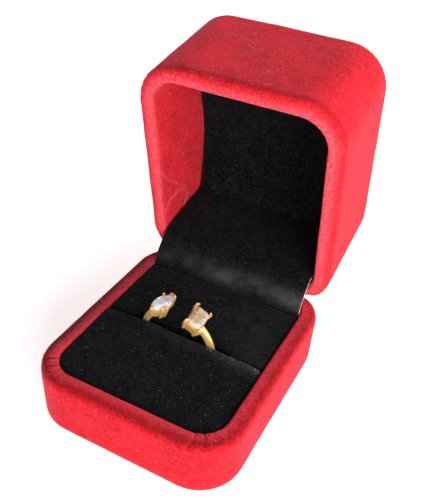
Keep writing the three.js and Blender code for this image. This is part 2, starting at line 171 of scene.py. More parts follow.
def field(grid, size, seed):
    """Smooth noise about zero at each point of a grid, with features of that size."""
    shift = Vector((seed * 17.3, seed * 5.1, seed * 9.7))
    values = [noise.fractal(Vector(p) / size + shift, 1.0, 2.0, 2) for p in grid.reshape(-1, 3)]
    return np.array(values).reshape(grid.shape[:-1])


def smooth_step(x, a, b):
    """0 up to a and 1 from b on, with a smooth rise between."""
    t = np.clip((x - a) / (b - a), 0, 1)
    return t * t * (3 - 2 * t)


def tip_open(points):
    """Points of the shut lid, tipped back about the hinge to where the lid rests."""
    p = np.asarray(points, float) - AXIS
    c, s = math.cos(-OPEN), math.sin(-OPEN)
    out = p.copy()
    out[..., 1] = p[..., 1] * c - p[..., 2] * s
    out[..., 2] = p[..., 1] * s + p[..., 2] * c
    return out + AXIS


# ---- materials ----


class Nodes:
    """Short calls for one material's node tree."""

    def __init__(self, name):
        self.material = bpy.data.materials.new(name)
        self.material.use_nodes = True
        self.tree = self.material.node_tree
        self.shader = self.tree.nodes["Principled BSDF"]
        self.where = self.add("ShaderNodeTexCoord").outputs["Object"]

    def add(self, kind, **values):
        node = self.tree.nodes.new(kind)
        for key, value in values.items():
            if hasattr(node, key):
                setattr(node, key, value)
            else:
                node.inputs[key].default_value = value
        return node

    def link(self, a, b):
        self.tree.links.new(a, b)

    def feed(self, socket, value):
        """Leads a value into one of the shader's own sockets."""
        self.link(value, self.shader.inputs[socket])

    def set(self, **values):
        for key, value in values.items():
            self.shader.inputs[key.replace("_", " ")].default_value = value

    def noise(self, size_mm, detail=3.0, stretch=(1, 1, 1), turn=(0, 0, 0), rough=0.55, place=None):
        """Noise with features of about that size; stretch over 1 draws them out that way."""
        mapping = self.add("ShaderNodeMapping")
        mapping.inputs["Rotation"].default_value = turn
        mapping.inputs["Scale"].default_value = [1 / s for s in stretch]
        self.link(place or self.where, mapping.inputs["Vector"])
        node = self.add("ShaderNodeTexNoise", Scale=1 / (size_mm * MM), Detail=detail, Roughness=rough)
        self.link(mapping.outputs[0], node.inputs["Vector"])
        return node.outputs[0]

    def ramp(self, value, *stops):
        """A colour ramp from (place, colour) stops; a number stands for a grey."""
        node = self.add("ShaderNodeValToRGB")
        for _ in range(len(stops) - 2):
            node.color_ramp.elements.new(0.5)
        for element, (place, colour) in zip(node.color_ramp.elements, stops):
            element.position = place
            grey = isinstance(colour, (int, float))
            element.color = (colour, colour, colour, 1) if grey else (*colour, 1)
        self.link(value, node.inputs[0])
        return node.outputs[0]

    def mix(self, share, a, b, kind="MIX"):
        node = self.add("ShaderNodeMix", data_type="RGBA", blend_type=kind)
        for socket, value in ((0, share), (6, a), (7, b)):
            if hasattr(value, "node"):
                self.link(value, node.inputs[socket])
            elif isinstance(value, (int, float)):
                node.inputs[socket].default_value = value
            else:
                node.inputs[socket].default_value = (*value, 1)
        return node.outputs[2]

    def bump(self, *layers):
        """Bump from (height, distance in mm) layers, one on the other."""
        last = None
        for height, distance in layers:
            node = self.add("ShaderNodeBump", Distance=distance * MM, Strength=1.0)
            self.link(height, node.inputs["Height"])
            if last:
                self.link(last, node.inputs["Normal"])
            last = node.outputs[0]
        self.feed("Normal", last)


# The stretch and turn of the noise for each of three lots of stray fibres.
STRAY_WAYS = [((1, 9, 1), (0.3, 0.2, 0.5)), ((9, 1, 1), (0.4, 0.7, -0.4)), ((1, 1, 8), (0.5, -0.6, 0.2))]


def velvet(name, deep, mid, pile, sheen, tint, lint, lint_share, grain, comb):
    """Flocked velvet: patches from deep to mid, a fine pile where the nap's noise is over grain,
    and stray fibres in the tint, by the share lint, where theirs is over lint_share. comb is for a
    long nap, which opens in lines where it bends."""
    m = Nodes(name)
    patches = m.noise(4.5, 3.0)
    clumps = m.noise(1.0, 3.0)
    nap = m.noise(0.42, 2.0)
    cloth = m.add("ShaderNodeUVMap", uv_map="cloth").outputs[0]
    combed = m.noise(0.34, 3.0, (1, 3, 1), place=cloth)
    wear_and_sheen = m.add("ShaderNodeAttribute", attribute_name="wear_and_sheen").outputs["Fac"]
    broad = m.noise(11.0, 2.0)
    colour = m.mix(m.ramp(patches, (0.35, 0.0), (0.65, 1.0)), deep, mid)
    colour = m.mix(1.0, colour, m.ramp(broad, (0.35, 0.72), (0.65, 1.08)), "MULTIPLY")
    colour = m.mix(m.ramp(clumps, (0.45, 0.0), (0.72, 0.6)), colour, pile)
    colour = m.mix(m.ramp(nap, (grain, 0.0), (grain + 0.18, 0.8)), colour, pile)
    # Painted shade: the colour is made darker where the mesh's painted shade value is set, down to 0.12 of
    # it.
    painted_shade = m.add("ShaderNodeAttribute", attribute_name="painted_shade").outputs["Fac"]
    colour = m.mix(1.0, colour, m.mix(painted_shade, (1, 1, 1), (0.12, 0.12, 0.12)), "MULTIPLY")
    # Where the nap is worn open, and where painted sheen is set on some pieces, the colour goes paler
    # towards the open nap's tint.
    combed_share = m.ramp(combed if comb else patches, (0.35, 0.18), (0.69, 1.0))
    paler = 0.45 if comb else 0.15
    wear_and_sheen_colour = [c + (t - c) * paler for c, t in zip(pile, tint)]
    wear_and_sheen_share = m.mix(1.0, m.mix(wear_and_sheen, (0.03, 0.03, 0.03), (1, 1, 1)), combed_share, "MULTIPLY")
    colour = m.mix(wear_and_sheen_share, colour, wear_and_sheen_colour)
    for stretch, turn in STRAY_WAYS:
        streak = m.noise(0.16, 2.0, stretch, turn)
        colour = m.mix(m.ramp(streak, (lint_share, 0.0), (lint_share + 0.12, lint)), colour, tint)
    m.feed("Base Color", colour)
    m.set(Roughness=0.95, Specular_IOR_Level=0.0)
    m.set(Sheen_Weight=sheen, Sheen_Roughness=0.45, Sheen_Tint=(*tint, 1))
    pile_depth = 0.07 if comb else 0.045
    comb_depth = 0.02 if comb else 0.005
    m.bump((patches, 0.10), (clumps, pile_depth), (nap, pile_depth), (combed, comb_depth))
    return m.material


def lint_material(name, dark, light):
    """Loose fibres: thin, matt, and paler in places."""
    m = Nodes(name)
    m.feed("Base Color", m.ramp(m.noise(1.0, 2.0), (0.3, dark), (0.7, light)))
    m.set(Roughness=0.6, Sheen_Weight=0.3)
    return m.material


def card_material():
    m = Nodes("card")
    strands = m.noise(0.5, 4.0, (4, 1, 1))
    m.feed("Base Color", m.ramp(strands, (0.3, (0.62, 0.52, 0.36)), (0.7, (0.86, 0.79, 0.64))))
    m.set(Roughness=0.85, Specular_IOR_Level=0.2)
    m.bump((strands, 0.04))
    return m.material


def sole_material():
    m = Nodes("sole_card")
    grain = m.noise(0.7, 5.0, (3, 1, 1))
    m.feed("Base Color", m.ramp(grain, (0.3, 0.010), (0.75, 0.028)))
    m.feed("Roughness", m.ramp(grain, (0.2, 0.75), (0.8, 0.95)))
    m.bump((grain, 0.05))
    return m.material


def plastic_material():
    m = Nodes("shell_plastic")
    flow = m.noise(6.0, 3.0)
    m.feed("Base Color", m.ramp(flow, (0.3, 0.018), (0.8, 0.030)))
    m.feed("Roughness", m.ramp(m.noise(0.4, 2.0), (0.3, 0.38), (0.7, 0.52)))
    m.bump((flow, 0.05))
    return m.material


def foam_material():
    m = Nodes("foam")
    cells = m.noise(0.45, 5.0)
    m.feed("Base Color", m.ramp(cells, (0.3, (0.62, 0.58, 0.48)), (0.65, (0.86, 0.84, 0.77))))
    m.set(Roughness=0.95, Specular_IOR_Level=0.1)
    m.bump((cells, 0.25))
    return m.material


def metal(name, dark, light, rough, brush_mm, stretch, height, metallic=1.0):
    """Plated or bare metal with fine handling marks."""
    m = Nodes(name)
    marks = m.noise(brush_mm, 4.0, stretch)
    m.feed("Base Color", m.ramp(marks, (0.25, dark), (0.75, light)))
    m.feed("Roughness", m.ramp(marks, (0.2, rough * 0.7), (0.8, rough * 1.4)))
    m.set(Metallic=metallic)
    if height:
        m.bump((marks, height))
    return m.material


def stone_material(name, *stops):
    """Cut stone: mostly clear, with painted reflections: patches in its colour that stand for light sent
    back from its inner facets.
    """
    m = Nodes(name)
    patch_mm = 0.95
    cells = m.add("ShaderNodeTexVoronoi", Scale=1 / (patch_mm * MM))
    m.link(m.where, cells.inputs["Vector"])
    m.feed("Base Color", m.ramp(cells.outputs["Color"], *stops))
    m.set(Roughness=0.02, IOR=1.9, Transmission_Weight=0.6)
    return m.material


def floor_material():
    m = Nodes("floor")
    m.feed("Base Color", m.ramp(m.noise(60.0, 2.0), (0.3, 0.86), (0.7, 0.9)))
    m.set(Roughness=0.7, Specular_IOR_Level=0.2, Emission_Strength=0.5, Emission_Color=(1, 1, 1, 1))
    return m.material


RED = velvet(
    "red_velvet",
    deep=(0.40, 0.0040, 0.0080), mid=(0.49, 0.0060, 0.0115), pile=(0.66, 0.018, 0.028),
    tint=(1.0, 0.22, 0.28), sheen=0.43, lint=0.25, lint_share=0.65, grain=0.50, comb=True,
)
BLACK = velvet(
    "black_velvet",
    deep=(0.0016, 0.0016, 0.0018), mid=(0.0028, 0.0028, 0.0031), pile=(0.0105, 0.0105, 0.0115),
    tint=(0.34, 0.34, 0.37), sheen=0.13, lint=0.12, lint_share=0.64, grain=0.52, comb=False,
)
RED_LINT = lint_material("red_lint", (0.72, 0.08, 0.11), (0.9, 0.26, 0.30))
DUST = lint_material("dust", (0.12, 0.12, 0.13), (0.5, 0.5, 0.5))
CARD = card_material()
SOLE = sole_material()
PLASTIC = plastic_material()
FOAM = foam_material()
STEEL = metal("spring_steel", (0.42, 0.43, 0.45), (0.72, 0.73, 0.75), 0.32, 0.5, (6, 1, 1), 0.01)
BRASS = metal("rivet_brass", (0.55, 0.38, 0.13), (0.85, 0.66, 0.3), 0.3, 0.4, (1, 1, 1), 0.02)
GOLD = metal("gold_plate", (0.82, 0.47, 0.14), (0.92, 0.60, 0.22), 0.22, 3.0, (1, 2, 1), 0.0, 0.6)
# Painted reflections: grey to white patches for the light a clear stone sends back.
STONE = stone_material(
    "clear_stone", (0.25, (0.66, 0.66, 0.70)), (0.45, (1.0, 0.97, 0.96)), (0.6, (1.0, 1.0, 1.0)),
)
# Painted reflections: warm patches for the gold setting seen in the stone.
WARM_REFLECTION_STONE = stone_material(
    "warm_reflection_stone", (0.28, (0.72, 0.54, 0.32)), (0.46, (0.98, 0.86, 0.70)), (0.62, (1.0, 0.98, 0.96)),
)

# ---- the box's rounded plan ----

ARC_POINTS = 42
LONG_POINTS = 46
SHORT_POINTS = 36


def plan_columns():
    """Where each column of a cover stands: a corner centre line, and the way out from it."""
    hx, hy = WIDTH / 2 - CORNER, DEPTH / 2 - CORNER
    corners = [(hx, hy), (-hx, hy), (-hx, -hy), (hx, -hy)]
    centres, ways = [], []
    for k, corner in enumerate(corners):
        after = corners[(k + 1) % 4]
        for i in range(ARC_POINTS):
            a = (k + i / ARC_POINTS) * math.pi / 2
            centres.append(corner)
            ways.append((math.cos(a), math.sin(a)))
        a = (k + 1) * math.pi / 2
        count = SHORT_POINTS if k % 2 == 0 else LONG_POINTS
        for i in range(count):
            t = i / count
            centres.append([corner[j] + (after[j] - corner[j]) * t for j in range(2)])
            ways.append((math.cos(a), math.sin(a)))
    return np.array(centres), np.array(ways)


CENTRES, WAYS = plan_columns()


def arc(inset, z, r, a0, a1, steps):
    """Profile points [inset, z] on an arc; 0 degrees points outwards and 90 up."""
    angles = [math.radians(a0 + (a1 - a0) * i / steps) for i in range(steps + 1)]
    return [[inset - r * math.cos(a), z + r * math.sin(a)] for a in angles]


def run(a, b, step=0.6):
    """Profile points from a to b, without the last."""
    count = max(1, round(math.dist(a, b) / step))
    return [[a[j] + (b[j] - a[j]) * i / count for j in range(2)] for i in range(count)]


def lofted(profile, shrink=None):
    """A (rows, cols, 3) grid from a profile of [inset, z]; shrink scales a row about the middle."""
    grid = np.zeros((len(profile), len(CENTRES), 3))
    for r, (inset, z) in enumerate(profile):
        k = 1 if shrink is None else shrink[r]
        grid[r, :, :2] = (CENTRES + WAYS * (CORNER - inset)) * k
        grid[r, :, 2] = z
    return grid


RIM_RADIUS = 8.5  # of a rim's middle line round a corner, about


def creases(grid, along, marks, middle, reach):
    """Depth of each crease at each point; along runs over the rows, middle is on the rim."""
    angle = np.degrees(np.arctan2(WAYS[:, 1], WAYS[:, 0])) % 360
    out = np.zeros(grid.shape[:2])
    window = np.exp(-(((along - middle) / reach) ** 2))[:, None]
    for degrees, width, depth, slant in marks:
        off = ((angle[None, :] - degrees + 180) % 360 - 180) * math.radians(1) * RIM_RADIUS
        off = off - slant * (along - middle)[:, None]
        out += depth * np.exp(-((off / width) ** 2)) * window
    return out


def thicken(grid, thick, closed_end):
    """Outer and inner skins of a cloth, as points and faces. The grid's last row may be a cap."""
    rows, cols, _ = grid.shape
    inner = grid - grid_normals(grid) * thick
    points = np.concatenate([grid.reshape(-1, 3), inner.reshape(-1, 3)])
    n = rows * cols
    faces = grid_faces(rows, cols, wrap_cols=True)
    faces += grid_faces(rows, cols, wrap_cols=True, first=n, flip=True)
    ends = [(0, False)] if closed_end else [(0, False), (rows - 1, True)]
    for row, flip in ends:
        for c in range(cols):
            c2 = (c + 1) % cols
            quad = [row * cols + c2, row * cols + c, n + row * cols + c, n + row * cols + c2]
            faces.append(quad[::-1] if flip else quad)
    if closed_end:
        faces.append([(rows - 1) * cols + c for c in range(cols)])
        faces.append([n + (rows - 1) * cols + c for c in range(cols)][::-1])
    return points, faces


def cloth_lay(along):
    """Flat places of a cover's points, for both skins: round the box, and along the profile."""
    ring = CENTRES + WAYS * (CORNER - BASE_WALL / 2)
    steps = np.linalg.norm(ring - np.roll(ring, 1, axis=0), axis=1)
    steps[0] = 0
    u, v = np.meshgrid(np.cumsum(steps), along)
    one = np.stack([u, v], axis=2).reshape(-1, 2) * MM
    return np.concatenate([one, one])


def bent_open(along, middle, reach):
    """How far the nap is bent open at each point of both skins, about one line of the profile."""
    one = np.exp(-(((along - middle) / reach) ** 2))
    return np.tile(np.repeat(one, len(CENTRES)), 2)


# ---- red covers ----

# Creases pulled into the cloth at a rim: angle round the plan, width, depth, slant.
BASE_CREASES = [
    (198, 0.40, 0.20, 0.10), (213, 0.26, 0.58, -0.05), (221, 0.5, 0.16, 0.12), (230, 0.30, 0.42, 0.0),
    (243, 0.5, 0.14, -0.1), (256, 0.4, 0.14, 0.0), (286, 0.5, 0.16, 0.1), (302, 0.30, 0.40, 0.05),
    (318, 0.5, 0.14, -0.1), (336, 0.4, 0.12, 0.05), (15, 0.5, 0.12, 0.0), (48, 0.45, 0.2, 0.1),
    (75, 0.5, 0.12, 0.0), (108, 0.5, 0.12, 0.1), (140, 0.45, 0.22, -0.1), (165, 0.5, 0.10, 0.0),
]
LID_CREASES = [
    (190, 0.45, 0.16, -0.15), (204, 0.35, 0.26, -0.2), (217, 0.30, 0.44, -0.15), (230, 0.4, 0.2, 0.1),
    (245, 0.32, 0.40, 0.0), (256, 0.4, 0.16, 0.0), (292, 0.5, 0.14, 0.2), (306, 0.45, 0.20, 0.25),
    (316, 0.35, 0.34, 0.1), (331, 0.4, 0.36, 0.1), (346, 0.5, 0.12, 0.0), (20, 0.5, 0.14, 0.1),
    (50, 0.5, 0.2, 0.0), (72, 0.5, 0.12, 0.0), (110, 0.5, 0.12, 0.0), (138, 0.45, 0.2, 0.1),
    (160, 0.5, 0.12, 0.0),
]
SLOPE_CLEAR = 0.2  # between the sloping back rim and the plane through the hinge
SLOPE_EASE = 0.35  # how softly the level rim turns into the slope
EASE_ROOM = 0.02  # keeps that softness from lowering the level rim
KNUCKLE_ROOM = 1.68  # radius of the rod cut from each cover; some cloth still crosses the knuckles


def slope_height(y, side):
    """Height of the sloping cut behind the hinge, on the base (1) or the shut lid (-1)."""
    half = OPEN / 2
    drop = (SLOPE_CLEAR + math.sin(half) * (y - AXIS[1])) / math.cos(half)
    return AXIS[2] - side * drop


def slope_base(grid):
    """Squeezes the base's cloth down to the slope behind the hinge, down to foot and no lower."""
    foot = 8.0
    top = slope_height(grid[..., 1], 1)
    level = math.exp(-(RIM_Z + EASE_ROOM) / SLOPE_EASE)
    top = -SLOPE_EASE * np.log(np.exp(-top / SLOPE_EASE) + level)
    squeeze = np.clip((top - foot) / (RIM_Z - foot), 0, 1)
    high = grid[..., 2] > foot
    grid[..., 2] = np.where(high, foot + (grid[..., 2] - foot) * squeeze, grid[..., 2])
    return grid


def slope_lid(grid):
    """Squeezes the shut lid's cloth up to the slope behind the hinge, up to head and no higher."""
    head = 27.0
    low = slope_height(grid[..., 1], -1)
    level = math.exp((LID_RIM - EASE_ROOM) / SLOPE_EASE)
    low = SLOPE_EASE * np.log(np.exp(low / SLOPE_EASE) + level)
    squeeze = np.clip((head - low) / (head - LID_RIM), 0, 1)
    deep = grid[..., 2] < head
    grid[..., 2] = np.where(deep, head - (head - grid[..., 2]) * squeeze, grid[..., 2])
    return grid


def rod_x(r, x0, x1, y, z):
    """A cutting rod along X."""
    sides = 32
    points = []
    for x in (x0, x1):
        for i in range(sides):
            a = 2 * math.pi * i / sides
            points.append((x, y + r * math.cos(a), z + r * math.sin(a)))
    faces = grid_faces(2, sides, wrap_cols=True, flip=True)
    faces += [list(range(sides)), list(range(2 * sides - 1, sides - 1, -1))]
    return make("cutter", points, faces, CARD)


def bar(low, high):
    """A cutting bar between two corners."""
    points = [(x, y, z) for x in (low[0], high[0]) for y in (low[1], high[1]) for z in (low[2], high[2])]
    faces = [(0, 1, 3, 2), (4, 6, 7, 5), (0, 4, 5, 1), (2, 3, 7, 6), (0, 2, 6, 4), (1, 5, 7, 3)]
    return make("cutter", points, faces, CARD)


def base_cover():
    hem = 8.0
    floor_z = 6.0
    r_foot = 2.6
    r_lip = 0.7
    foot = 0.2 + r_foot
    profile = run([hem, HEM_Z], [foot, HEM_Z], 0.9)
    profile += arc(foot, HEM_Z + r_foot, r_foot, -90, -3, 7)
    profile += run([0.18, HEM_Z + r_foot + 0.5], [0, RIM_Z - RIM_ROUND])
    profile += arc(RIM_ROUND, RIM_Z - RIM_ROUND, RIM_ROUND, 0, 88, 7)
    rim_row = len(profile)
    profile += run([RIM_ROUND + 0.35, RIM_Z + 0.04], [BASE_WALL - r_lip, RIM_Z], 0.45)
    profile += arc(BASE_WALL - r_lip, RIM_Z - r_lip, r_lip, 90, 178, 5)
    profile += run([BASE_WALL, RIM_Z - r_lip - 0.4], [BASE_WALL, floor_z])
    profile.append([BASE_WALL, floor_z])
    along = distance_along(profile)
    grid = slope_base(lofted(profile))
    normal = grid_normals(grid)
    push = 0.07 * field(grid, 6.5, 1) + 0.025 * field(grid, 1.3, 2)
    pulls = creases(grid, along, BASE_CREASES, along[rim_row + 1], 2.3)
    push -= pulls
    level = smooth_step(grid[..., 2], HEM_Z + 0.3, HEM_Z + 2.5)
    grid += normal * (push * level)[..., None]
    points, faces = thicken(grid, CLOTH, False)
    wear_and_sheen = 0.45 * bent_open(along, along[rim_row + 3], 1.3)
    # Painted shade: a dark band down the outer fillet under the rim, the left of the rim darker as if less
    # lit, and dark lines in the deep creases.
    fillet_shade = 0.54 * np.exp(-(((along - along[rim_row - 3]) / 1.1) ** 2))[:, None]
    left = smooth_step(-grid[..., 0], 14, 22) * smooth_step(grid[..., 1], -27, -16)
    left *= smooth_step(grid[..., 2], RIM_Z - 3.0, RIM_Z - 0.6)
    painted_shade = np.tile((fillet_shade + 0.75 * left + 0.9 * np.maximum(pulls - 0.2, 0)).ravel(), 2)
    cover = make("base_cover", points, faces, RED, lay=cloth_lay(along), wear_and_sheen=wear_and_sheen, painted_shade=painted_shade)
    low, high = box_mm("base_hinge_leaf")
    room = rod_x(KNUCKLE_ROOM, low[0] - GAP, high[0] + GAP, AXIS[1], AXIS[2])
    # The bar runs from inside the box to behind the cloth on the wall's inner side.
    slot = bar(low - [GAP, 1.5, 0.6], [high[0] + GAP, low[1] + 0.95, AXIS[2]])
    cut(cover, room, slot)
    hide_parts("base_velvet")
    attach(cover, "base")
    return cover


# Tucks in the cloth on the lid's inner side walls: points on the shut lid, half width, height.
TUCKS = [
    ([(-21.6, 0.0, 17.6), (-21.6, 5.0, 20.4), (-21.6, 9.5, 24.6), (-21.6, 16.0, 31.0)], 0.34, 0.20),
    ([(-21.6, 15.0, 29.0), (-21.6, 12.6, 25.5), (-21.6, 12.2, 21.0), (-21.6, 15.5, 18.4)], 0.42, 0.30),
    ([(-21.6, 15.5, 30.5), (-21.6, 18.2, 28.8), (-21.6, 21.3, 26.6)], 0.45, 0.26),
    ([(21.6, 4.0, 19.0), (21.6, 9.0, 24.0), (21.6, 15.0, 30.0)], 0.5, 0.24),
]


def wall_tucks(grid):
    """Height of the tucks at each point of the lid's cloth."""
    out = np.zeros(grid.shape[:2])
    for line, width, height in TUCKS:
        corner = np.linspace(0, 1, len(line))
        for t in np.linspace(0, 1, 40):
            place = [np.interp(t, corner, [p[k] for p in line]) for k in range(3)]
            away = np.linalg.norm(grid - place, axis=2)
            taper = math.sin(math.pi * min(max(t, 0.06), 0.94)) ** 0.5
            out = np.maximum(out, height * taper * np.exp(-((away / width) ** 2)))
    return out


def lid_cover():
    r_lip = 0.9
    r_top = 2.8
    turned_in = 24  # depth of the cloth inside the wall
    fold = LID_RIM + turned_in
    draft = 0.27  # how far the sides lean in towards the top
    profile = run([LID_WALL, fold], [LID_WALL, LID_RIM + r_lip + 0.4])
    profile += arc(LID_WALL - r_lip, LID_RIM + r_lip, r_lip, 180, 270, 5)
    rim_row = len(profile)
    profile += run([LID_WALL - r_lip - 0.3, LID_RIM - 0.03], [RIM_ROUND + 0.2, LID_RIM], 0.45)
    profile += arc(RIM_ROUND, LID_RIM + RIM_ROUND, RIM_ROUND, -90, 0, 7)
    profile += run([0, LID_RIM + RIM_ROUND + 0.4], [draft, LID_TOP - r_top])
    profile += arc(draft + r_top, LID_TOP - r_top, r_top, 0, 90, 8)
    top_row = len(profile)
    cap = CORNER - 4.0  # the inset where the rings on the top begin to shrink to the middle
    profile += run([draft + r_top + 0.8, LID_TOP], [cap, LID_TOP], 0.9)
    shrink = [1.0] * len(profile)
    for k in np.linspace(1, 0.03, 26):
        profile.append([cap, LID_TOP])
        shrink.append(float(k))
    along = distance_along([[inset + (1 - k) * DEPTH / 2, z] for (inset, z), k in zip(profile, shrink)])
    grid = slope_lid(lofted(profile, shrink))
    normal = grid_normals(grid)
    push = 0.09 * field(grid, 7.5, 3) + 0.025 * field(grid, 1.3, 4)
    pulls = creases(grid, along, LID_CREASES, along[rim_row + 2], 2.4)
    push -= pulls
    inside = (np.arange(len(profile)) < rim_row - 3)[:, None]
    tucks = wall_tucks(grid) * inside
    push += tucks
    middle = np.linalg.norm(grid[..., :2] / [WIDTH / 2, DEPTH / 2], axis=2)
    crown = 0.25 * np.clip(1 - middle, 0, 1)
    crown[:top_row] = 0
    grid += normal * (push + crown)[..., None]
    points, faces = thicken(grid, CLOTH, True)
    # Painted sheen: the worn band on the lid's rim is made paler towards the right, where the light falls.
    # Painted highlights run along the tucks' ridges.
    right = smooth_step(grid[..., 0], 8, 22)
    wear_and_sheen = bent_open(along, along[rim_row - 1], 1.6) * np.tile((0.8 + 0.5 * right).ravel(), 2)
    wear_and_sheen += np.tile((3.0 * tucks).ravel(), 2)
    # Painted shade: a dark band along the lid's outer fillet, the left end of the lid's front wall darker,
    # and dark lines in the deep creases.
    fillet_shade = 0.46 * np.exp(-(((along - along[rim_row + 8]) / 1.0) ** 2))[:, None]
    edge = smooth_step(-grid[..., 0], 17, 25) * smooth_step(-grid[..., 1], 20, 29)
    edge *= grid[..., 2] > LID_RIM + 2
    painted_shade = np.tile((fillet_shade + 0.3 * edge + 1.2 * np.maximum(pulls - 0.2, 0)).ravel(), 2)
    cover = make("lid_cover", points, faces, RED, lay=cloth_lay(along), wear_and_sheen=wear_and_sheen, painted_shade=painted_shade)
    leaf_x = box_mm("lid_hinge_leaf")[1][0] + GAP
    room = rod_x(KNUCKLE_ROOM, -leaf_x, leaf_x, AXIS[1], AXIS[2])
    wall_y = DEPTH / 2 - LID_WALL
    leaf_height = 9.6
    slot = bar([-leaf_x, wall_y - 1.5, AXIS[2]], [leaf_x, wall_y + 0.75, AXIS[2] + leaf_height])
    cut(cover, room, slot)
    for v in cover.data.vertices:
        v.co = Vector(tip_open(np.array(v.co) / MM) * MM)
    cover.data.update()
    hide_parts("lid_velvet")
    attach(cover, "lid")
    return cover


# ---- black pads ----


def slit_line(x):
    """The rear pad's front edge: it stands back round the ring and closes up beyond it."""
    left = RING_LOW[0] - 1.0
    right = RING_HIGH[0] + 1.0
    ease = 3.5
    inside = smooth_step(x, left - ease, left) * (1 - smooth_step(x, right, right + ease))
    back = RING_HIGH[1] + 0.32
    return SLIT_BACK + (back - SLIT_BACK) * inside


def pad(name, low_edge, high_edge, round_low, round_high, swell, seed):
    """A padded block between two edge lines y(x), rounded along them and crowned on top."""
    inset = BASE_WALL + GAP * 0.6
    half = WIDTH / 2 - inset
    xs = np.concatenate([[-1, -0.992, -0.975], np.linspace(-0.95, 0.95, 58), [0.975, 0.992, 1]])
    edge = np.array([0, 0.012, 0.03, 0.06, 0.1, 0.15, 0.2])
    ts = np.concatenate([edge, np.linspace(0.26, 0.74, 22), 1 - edge[::-1]])
    rows, cols = len(ts), len(xs)
    top = np.zeros((rows, cols, 3))
    for c, xf in enumerate(xs):
        x = xf * half
        corner = max(abs(x) - (WIDTH / 2 - CORNER), 0)
        reach = DEPTH / 2 - CORNER + math.sqrt(max((CORNER - inset) ** 2 - corner**2, 0))
        y0, y1 = max(low_edge(x), -reach), min(high_edge(x), reach)
        for r, t in enumerate(ts):
            y = y0 + (y1 - y0) * t
            z = PAD_TOP + 0.25 * math.sin(math.pi * t) * math.cos(math.pi / 2 * xf)
            z += swell(x) * t**3 * math.cos(math.pi / 2 * xf) ** 0.4
            for gap, radius in ((y - y0, round_low), (y1 - y, round_high), (half - abs(x), 0.8)):
                if gap < radius:
                    z -= radius - math.sqrt(max(radius**2 - (radius - gap) ** 2, 0))
            top[r, c] = x, y, z
    top[..., 2] += 0.10 * field(top, 7, seed) + 0.03 * field(top, 1.4, seed + 1)
    low = top.copy()
    low[..., 2] = PAD_FOOT
    n = rows * cols
    faces = grid_faces(rows, cols) + grid_faces(rows, cols, first=n, flip=True)
    faces += [face[::-1] for face in edge_faces(rows, cols)]
    lay = np.concatenate([top.reshape(-1, 3)[:, :2]] * 2) * MM
    # Along the slit the front pad's lip is paler towards the right: frayed nap, with painted sheen along
    # the lip. The rear pad is paler towards its right.
    by_slit = np.exp(-(((top[..., 1] - SLIT_FRONT + 1.2) / 1.5) ** 2))
    wear_and_sheen = by_slit * (0.05 + 0.35 * smooth_step(top[..., 0], -18, 18))
    wear_and_sheen += 0.14 * (top[..., 1] > SLIT_BACK) * smooth_step(top[..., 0], 2, 20)
    points = np.concatenate([top.reshape(-1, 3), low.reshape(-1, 3)])
    obj = make(f"{name}_pad", points, faces, BLACK, lay=lay, wear_and_sheen=np.tile(wear_and_sheen.ravel(), 2))
    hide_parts(f"{name}_pad_velvet", f"{name}_pad_foam")
    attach(obj, "base")
    return obj


def make_pads():
    """The two pads; the front one is plumper along the slit, and most so on its left."""

    def plump(x):
        return 1.0 + 0.5 * smooth_step(-x, 0, 9)

    front = pad("front", lambda x: -DEPTH / 2, lambda x: SLIT_FRONT + 0.15, 0.7, 0.9, plump, 11)
    rear = pad("rear", slit_line, lambda x: REAR_PAD_END + 0.25, 1.3, 0.6, lambda x: 0.0, 21)
    return front, rear


# ---- flap and liner ----

# The cloth face from behind the rear pad, over the hinge and into the lid, as (y, z).
FLAP_FACE = [
    (19.7, 4.0), (19.65, 10.0), (19.7, 15.0), (20.0, 17.3), (20.7, 19.4), (22.2, 21.2),
    (23.8, 22.8), (25.4, 24.0), (27.7, 24.7), (32.6, 25.9), (38.5, 26.9), (43.2, 27.7),
]
# The same face on across the lid's inside.
PANEL_FACE = [
    (44.3, 28.6), (44.7, 32.0), (45.1, 38.0), (44.9, 45.1), (43.9, 51.0), (42.3, 56.0),
    (40.2, 62.0), (37.6, 68.6),
]
LINER_HALF = 20.95  # half the liner's width along its straight sides


def curve(points, step):
    """A smooth line through (y, z) points, cut into even steps."""
    p = np.array([points[0], *points, points[-1]], float)
    fine = []
    for i in range(1, len(p) - 2):
        a, b, c, d = p[i - 1 : i + 3]
        for t in np.linspace(0, 1, 24, endpoint=False):
            point = 2 * b + (c - a) * t
            point += (2 * a - 5 * b + 4 * c - d) * t**2
            point += (3 * b - a - 3 * c + d) * t**3
            fine.append(0.5 * point)
    fine.append(p[-1])
    fine = np.array(fine)
    length = distance_along(fine)
    even = np.linspace(0, length[-1], max(2, round(length[-1] / step)))
    return np.stack([np.interp(even, length, fine[:, k]) for k in range(2)], axis=1)


def liner_half(place):
    """Half the liner's width at a place on its path, rounded off in the lid's front corners."""
    y, z = place - AXIS[1:]
    forward = z * math.sin(OPEN) - y * math.cos(OPEN)  # from the hinge to the lid's front edge
    front = forward - (DEPTH / 2 - CORNER + AXIS[1])
    r = CORNER - LID_WALL - 0.25
    side = WIDTH / 2 - CORNER + math.sqrt(max(r * r - max(front, 0) ** 2, 0.01))
    return min(LINER_HALF, side)


